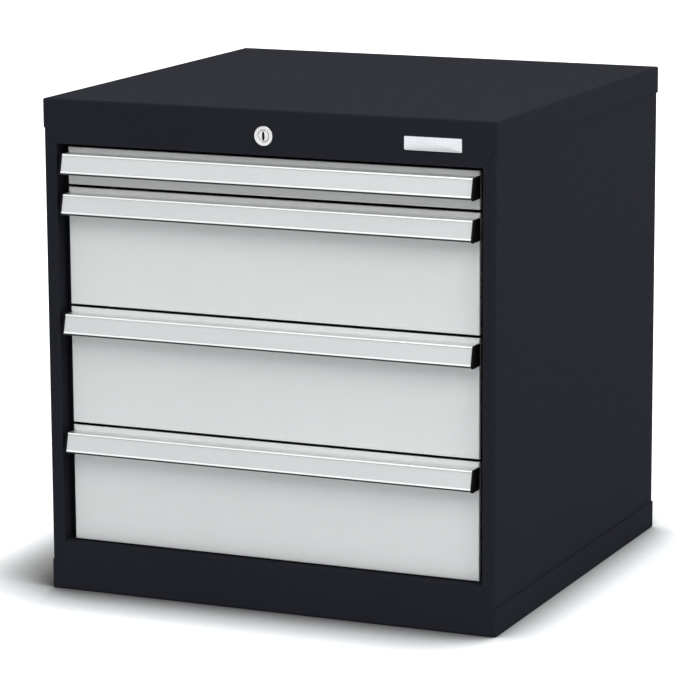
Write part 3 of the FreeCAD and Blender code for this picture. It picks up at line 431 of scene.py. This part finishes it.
def makeLockRing(look):
    outer, face, seat = look["ringRadius"], look["face"], look["seat"]
    edge, bore, shank = look["edge"], look["boreRadius"], look["shankRadius"]
    rolled = arcPoints((outer - edge, face + edge), edge, -90, 0, 6)
    step = [(bore + 0.9, face + 0.02), (bore + 0.5, face + 0.5), (bore, face + 0.6)]
    profile = rolled + [(outer, seat), (shank, seat), (shank, look["shankEnd"] - 0.6),
                        (shank - 0.6, look["shankEnd"]), (bore, look["shankEnd"])] + step[::-1]
    return turnedMesh("lockRing", profile, look["steps"])


def makeBarrel(look):
    radius, face = look["barrelRadius"], look["barrelFace"]
    rounded = arcPoints((radius - 0.5, face + 0.5), 0.5, -90, 0, 5)
    profile = [(0, face + 0.15), (radius - 2.2, face + 0.15), (radius - 1.4, face)] + rounded
    profile += [(radius, look["barrelEnd"]), (0, look["barrelEnd"])]
    barrel = helper("barrelSource", turnedMesh("lockBarrel", profile, look["steps"]))
    keyway = bmesh.new()
    half, side = look["keywayHeight"] / 2, look["keywayWidth"] / 2
    outline = [(side * math.sin(math.pi * step / 12) ** 0.7, half * math.cos(math.pi * step / 12))
               for step in range(13)]
    outline += [(-x, z) for x, z in outline[-2:0:-1]]
    rim = [keyway.verts.new((x * mm, (face - 1) * mm, z * mm)) for x, z in outline]
    lid = keyway.faces.new(rim)
    pushed = bmesh.ops.extrude_face_region(keyway, geom=[lid])["geom"]
    for corner in pushed:
        if isinstance(corner, bmesh.types.BMVert):
            corner.co.y += (look["keywayDepth"] + 1) * mm
    bmesh.ops.recalc_face_normals(keyway, faces=keyway.faces)
    cutterMesh = bpy.data.meshes.new("keywayCutter")
    keyway.to_mesh(cutterMesh)
    keyway.free()
    # the cut faces take the near-black keyway finish, painted shade inside the slot
    cutterMesh.materials.append(keywayPaintedShade)
    barrel.data.materials.append(nickel)
    cutter = helper("keywayCutter", cutterMesh)
    slit = barrel.modifiers.new("keyway", "BOOLEAN")
    slit.operation = "DIFFERENCE"
    slit.solver = "EXACT"
    slit.material_mode = "TRANSFER"
    slit.object = cutter
    piece = plainMesh("lockBarrel", barrel)
    bpy.data.objects.remove(cutter)
    return piece


def lifted(mesh, height):
    for corner in mesh.vertices:
        corner.co.z += height * mm
    return mesh


ring = helper("lockRing", lifted(makeLockRing(lockPiece), lockPiece["height"]))
finishPiece(ring, "cabinet", nickel, "lock_housing")
barrel = makeBarrel(lockPiece)
lifted(barrel.data, lockPiece["height"])
finishPiece(barrel, "lock", nickel, "lock_barrel")


# Name plate: a blank brushed plate with a raised border
platePiece = {
    "middle": (218.5, 589.8), "size": (73.0, 16.4), "corner": 1.5, "face": -286.9, "seat": -285.7,
    "border": 0.9, "sink": 0.3, "edge": 0.15,
}


def makePlate(look):
    (middleX, middleZ), (wide, high), radius = look["middle"], look["size"], look["corner"]
    outline = []
    for turn, (sideX, sideZ) in enumerate(((1, 1), (-1, 1), (-1, -1), (1, -1))):
        centre = (middleX + sideX * (wide / 2 - radius), middleZ + sideZ * (high / 2 - radius))
        outline += arcPoints(centre, radius, 90 * turn, 90 * turn + 90, 6)
    shape = bmesh.new()
    rim = [shape.verts.new((x * mm, look["seat"] * mm, z * mm)) for x, z in outline]
    back = shape.faces.new(rim)
    pushed = bmesh.ops.extrude_face_region(shape, geom=[back])["geom"]
    front = [part for part in pushed if isinstance(part, bmesh.types.BMFace)]
    for corner in pushed:
        if isinstance(corner, bmesh.types.BMVert):
            corner.co.y = look["face"] * mm
    bmesh.ops.inset_region(shape, faces=front, thickness=look["border"] * mm, use_even_offset=True)
    for corner in front[0].verts:
        corner.co.y += look["sink"] * mm
    bmesh.ops.recalc_face_normals(shape, faces=shape.faces)
    mesh = bpy.data.meshes.new("namePlate")
    shape.to_mesh(mesh)
    shape.free()
    smoothed(mesh)
    source = helper("namePlateSource", mesh)
    softEdges(source, look["edge"])
    return plainMesh("blankPlate", source)


plate = makePlate(platePiece)
finishPiece(plate, "cabinet", plateMetal, "name_plate")


# Repeated pieces: a tree makes one head and sets it on each vertex of a mesh of places

def newTree(name, inputs):
    tree = bpy.data.node_groups.new(name, "GeometryNodeTree")
    tree.interface.new_socket("Geometry", in_out="INPUT", socket_type="NodeSocketGeometry")
    for label, kind, value in inputs:
        made = tree.interface.new_socket(label, in_out="INPUT", socket_type=kind)
        if value is not None:
            made.default_value = value
    tree.interface.new_socket("Geometry", in_out="OUTPUT", socket_type="NodeSocketGeometry")
    return tree, Maker(tree)


def grown(name, places, tree, values):
    # runs a tree on a mesh of places, with its inputs set by their identifiers
    mesh = bpy.data.meshes.new(name)
    mesh.from_pydata([[value * mm for value in place] for place in places], [], [])
    source = helper(name + "Places", mesh)
    modifier = source.modifiers.new(name, "NODES")
    modifier.node_group = tree
    for item in tree.interface.items_tree:
        if item.in_out == "INPUT" and item.name in values:
            modifier[item.identifier] = values[item.name]
    return plainMesh(name, source)


def rivetTree(finish):
    tree, maker = newTree("domedRivets", [
        ("Head Radius", "NodeSocketFloat", 0.004), ("Head Height", "NodeSocketFloat", 0.0016),
        ("Pin Radius", "NodeSocketFloat", 0.001), ("Sides", "NodeSocketInt", 24)])
    given = maker.node("NodeGroupInput")
    value = {socket.name: Signal(maker, socket) for socket in given.outputs}
    dome = maker.signal("GeometryNodeMeshCone", {"fill_type": "NGON"}, {
        "Vertices": value["Sides"], "Side Segments": 6, "Radius Top": value["Pin Radius"] * 1.5,
        "Radius Bottom": value["Head Radius"], "Depth": value["Head Height"]})
    position = maker.signal("GeometryNodeInputPosition")
    parts = maker.node("ShaderNodeSeparateXYZ", sockets={0: position})
    across, up = Signal(maker, parts.outputs[0]), Signal(maker, parts.outputs[1])
    share = (across * across + up * up) * (value["Head Radius"] ** -2.0)
    height = (1.0002 - share) ** 0.5 * value["Head Height"]
    raisedPlace = maker.signal("ShaderNodeCombineXYZ", sockets={0: across, 1: up, 2: height})
    head = maker.signal("GeometryNodeSetPosition", sockets={"Geometry": dome, "Position": raisedPlace})
    pin = maker.signal("GeometryNodeMeshCylinder", {"fill_type": "NGON"}, {
        "Vertices": 12, "Radius": value["Pin Radius"], "Depth": value["Head Height"] * 2.06})
    both = maker.signal("GeometryNodeJoinGeometry", sockets={0: [head, pin]})
    placed = maker.signal("GeometryNodeInstanceOnPoints", sockets={
        "Points": value["Geometry"], "Instance": both,
        "Rotation": (math.radians(-90), 0, 0)})
    real = maker.signal("GeometryNodeRealizeInstances", sockets={0: placed})
    coated = maker.signal("GeometryNodeSetMaterial", sockets={"Geometry": real, "Material": finish})
    maker.node("NodeGroupOutput", sockets={0: coated})
    return tree


rivetPiece = {"out": 286.5, "first": 57.0, "last": 564.0, "perSide": 6, "seat": 295.7,
              "headRadius": 4.0, "headHeight": 1.6, "pinRadius": 1.0}


def rivetPlaces(look):
    step = (look["last"] - look["first"]) / (look["perSide"] - 1)
    return [(side * look["out"], look["seat"], look["first"] + step * number)
            for side in (-1, 1) for number in range(look["perSide"])]


rivets = grown("backRivets", rivetPlaces(rivetPiece), rivetTree(zincPlate), {
    "Head Radius": rivetPiece["headRadius"] * mm, "Head Height": rivetPiece["headHeight"] * mm,
    "Pin Radius": rivetPiece["pinRadius"] * mm})
smoothed(rivets.data)
finishPiece(rivets, "cabinet", zincPlate, "back_panel_rivets")


def screwTree(finish):
    tree, maker = newTree("countersunkScrews", [
        ("Head Radius", "NodeSocketFloat", 0.0039), ("Head Depth", "NodeSocketFloat", 0.0012),
        ("Shank Radius", "NodeSocketFloat", 0.0025), ("Shank Length", "NodeSocketFloat", 0.009),
        ("Recess", "NodeSocketFloat", 0.0009), ("Recess Width", "NodeSocketFloat", 0.0009)])
    given = maker.node("NodeGroupInput")
    value = {socket.name: Signal(maker, socket) for socket in given.outputs}
    cone = maker.signal("GeometryNodeMeshCone", {"fill_type": "NGON"}, {
        "Vertices": 32, "Radius Top": value["Head Radius"], "Radius Bottom": value["Shank Radius"],
        "Depth": value["Head Depth"]})
    sunk = maker.signal("ShaderNodeCombineXYZ", sockets={2: 0 - value["Head Depth"]})
    head = maker.signal("GeometryNodeTransform", sockets={"Geometry": cone, "Translation": sunk})
    arms = []
    across, deep = value["Head Radius"] * 1.1, value["Recess"] * 2
    for size in ((across, value["Recess Width"], deep), (value["Recess Width"], across, deep)):
        arms.append(maker.signal("GeometryNodeMeshCube", sockets={
            "Size": maker.signal("ShaderNodeCombineXYZ", sockets=dict(enumerate(size)))}))
    cross = maker.signal("GeometryNodeJoinGeometry", sockets={0: arms})
    crossed = maker.signal("GeometryNodeMeshBoolean", {"operation": "DIFFERENCE", "solver": "EXACT"},
                           {"Mesh 1": head, "Mesh 2": cross})
    rod = maker.signal("GeometryNodeMeshCylinder", {"fill_type": "NGON"}, {
        "Vertices": 16, "Radius": value["Shank Radius"], "Depth": value["Shank Length"]})
    below = 0 - value["Head Depth"] - value["Shank Length"] * 0.5
    shank = maker.signal("GeometryNodeTransform", sockets={
        "Geometry": rod, "Translation": maker.signal("ShaderNodeCombineXYZ", sockets={2: below})})
    both = maker.signal("GeometryNodeJoinGeometry", sockets={0: [crossed, shank]})
    spot = maker.node("ShaderNodeSeparateXYZ", sockets={0: maker.signal("GeometryNodeInputPosition")})
    side = maker.signal("ShaderNodeMath", {"operation": "SIGN"}, {0: Signal(maker, spot.outputs[0])})
    inwards = maker.signal("ShaderNodeCombineXYZ", sockets={1: side * math.radians(-90)})
    placed = maker.signal("GeometryNodeInstanceOnPoints", sockets={
        "Points": value["Geometry"], "Instance": both, "Rotation": inwards})
    real = maker.signal("GeometryNodeRealizeInstances", sockets={0: placed})
    coated = maker.signal("GeometryNodeSetMaterial", sockets={"Geometry": real, "Material": finish})
    maker.node("NodeGroupOutput", sockets={0: coated})
    return tree


screwPiece = {"seat": 270.3, "rows": (-241.2, 224.8), "heights": (536.2, 386.2, 236.2, 86.2),
              "headRadius": 3.9, "headDepth": 1.2, "shankRadius": 2.5, "shankLength": 9.0,
              "recess": 0.9, "recessWidth": 0.9}
screwPlaces = [(side * screwPiece["seat"], along, height) for side in (-1, 1)
               for along in screwPiece["rows"] for height in screwPiece["heights"]]
screws = grown("railScrews", screwPlaces, screwTree(zincPlate), {
    "Head Radius": screwPiece["headRadius"] * mm, "Head Depth": screwPiece["headDepth"] * mm,
    "Shank Radius": screwPiece["shankRadius"] * mm, "Shank Length": screwPiece["shankLength"] * mm,
    "Recess": screwPiece["recess"] * mm, "Recess Width": screwPiece["recessWidth"] * mm})
smoothed(screws.data)
finishPiece(screws, "cabinet", zincPlate, "rail_screws")


# Floor, lamps and camera
# the contact and close values shape the painted shadow on the floor round the object
floorLook = {"level": -0.0002, "half": 9.0, "albedo": 0.80, "glow": 0.46, "growth": 0.13,
             "contactReach": 0.15, "contactDepth": 2.8,
             "contactLean": (0.46, 0.13, 0.88), "closeReach": 0.05, "closeDepth": 0.8}
floorMesh = bpy.data.meshes.new("floor")
half = floorLook["half"]
floorMesh.from_pydata([(-half, -half, floorLook["level"]), (half, -half, floorLook["level"]),
                       (half, half, floorLook["level"]), (-half, half, floorLook["level"])],
                      [], [(0, 1, 2, 3)])
floor = helper("floor", floorMesh)


def seenDirectly(maker):
    # 1 for rays that show the background, straight or by a mirror or glass
    path = maker.node("ShaderNodeLightPath")
    straight = Signal(maker, path.outputs["Is Camera Ray"])
    mirrored = Signal(maker, path.outputs["Is Glossy Ray"])
    through = Signal(maker, path.outputs["Is Transmission Ray"])
    return straight + mirrored + through


def paperFloor(look):
    # the paper's soft shadow round the object is painted: two ambient-occlusion masks, the wide one leaning
    # by contactLean, darken its colour and glow for rays seen straight
    material, maker = newMaterial("paperFloor")
    place = objectPlace(maker)
    away = maker.signal("ShaderNodeVectorMath", {"operation": "LENGTH"}, {0: place}, output="Value")
    lean = maker.signal("ShaderNodeCombineXYZ", sockets=dict(enumerate(look["contactLean"])))
    wide = maker.signal("ShaderNodeAmbientOcclusion", {"samples": 12},
                        {"Distance": look["contactReach"], "Normal": lean}, output="AO")
    close = maker.signal("ShaderNodeAmbientOcclusion", {"samples": 12},
                         {"Distance": look["closeReach"]}, output="AO")
    paintedContactShadow = wide ** look["contactDepth"] * close ** look["closeDepth"]
    seen = seenDirectly(maker)
    contact = 1 - seen * (1 - paintedContactShadow)
    glow = seen * (look["glow"] + look["growth"] * away) * contact
    shade = tinted(maker, contact, (0.0, 0.0, 0.0), [look["albedo"]] * 3)
    paper = maker.signal("ShaderNodeBsdfDiffuse", sockets={"Color": shade})
    light = maker.signal("ShaderNodeEmission", sockets={"Strength": glow})
    both = maker.signal("ShaderNodeAddShader", sockets={0: paper, 1: light})
    maker.node("ShaderNodeOutputMaterial", sockets={"Surface": both})
    return material


floor.data.materials.append(paperFloor(floorLook))

roomLook = {"fill": 0.54, "tint": (0.965, 0.98, 1.0)}
world = bpy.data.worlds.new("studio")
bpy.context.scene.world = world
world.use_nodes = True
world.node_tree.nodes.clear()
sky = Maker(world.node_tree)
seen = seenDirectly(sky)
roomTint = sky.signal("ShaderNodeMix", {"data_type": "RGBA"},
                      {0: seen, 6: (*roomLook["tint"], 1), 7: (1, 1, 1, 1)}, output=2)
room = sky.signal("ShaderNodeBackground",
                  sockets={"Color": roomTint, "Strength": roomLook["fill"] + (1 - roomLook["fill"]) * seen})
sky.node("ShaderNodeOutputWorld", sockets={"Surface": room})

lampAim = Vector((0, 0, 0.3))
lamps = {
    "topLamp": {"place": (0.5, -0.7, 3.6), "size": 1.3, "power": 43, "tint": (0.80, 0.92, 1.0)},
    "frontLamp": {"place": (0.3, -3.2, 3.4), "size": 2.4, "power": 70, "tint": (1.0, 1.0, 1.0)},
    "sideLamp": {"place": (2.9, -1.0, 2.2), "size": 1.6, "power": 39, "tint": (1.0, 1.0, 1.0)},
    "rearLamp": {"place": (1.9, 3.4, 1.1), "size": 1.6, "power": 36, "tint": (1.0, 1.0, 1.0)},
    "leftLamp": {"place": (-3.0, 1.3, 0.95), "size": 1.5, "power": 38, "tint": (1.0, 1.0, 1.0)},
}
for name, look in lamps.items():
    light = bpy.data.lights.new(name, "AREA")
    light.energy = look["power"]
    light.size = look["size"]
    light.color = look["tint"]
    lamp = bpy.data.objects.new(name, light)
    lamp.location = look["place"]
    lamp.rotation_euler = (lampAim - lamp.location).to_track_quat("-Z", "Y").to_euler()
    bpy.context.scene.collection.objects.link(lamp)

cameraLook = {"place": (1.75197, -4.04034, 1.16527), "aim": (0.11101, -0.2857, 0.336194),
              "lens": 179.84, "sensor": 36, "roll": -0.2766}
lens = bpy.data.cameras.new("camera")
lens.lens = cameraLook["lens"]
lens.sensor_width = cameraLook["sensor"]
camera = bpy.data.objects.new("camera", lens)
camera.location = cameraLook["place"]
towards = (Vector(cameraLook["aim"]) - camera.location).to_track_quat("-Z", "Y")
camera.rotation_euler = (towards @ Quaternion((0, 0, 1), math.radians(cameraLook["roll"]))).to_euler()
bpy.context.scene.collection.objects.link(camera)
bpy.context.scene.camera = camera
bpy.context.scene.view_settings.view_transform = "Standard"
print("stage, lamps and camera set")
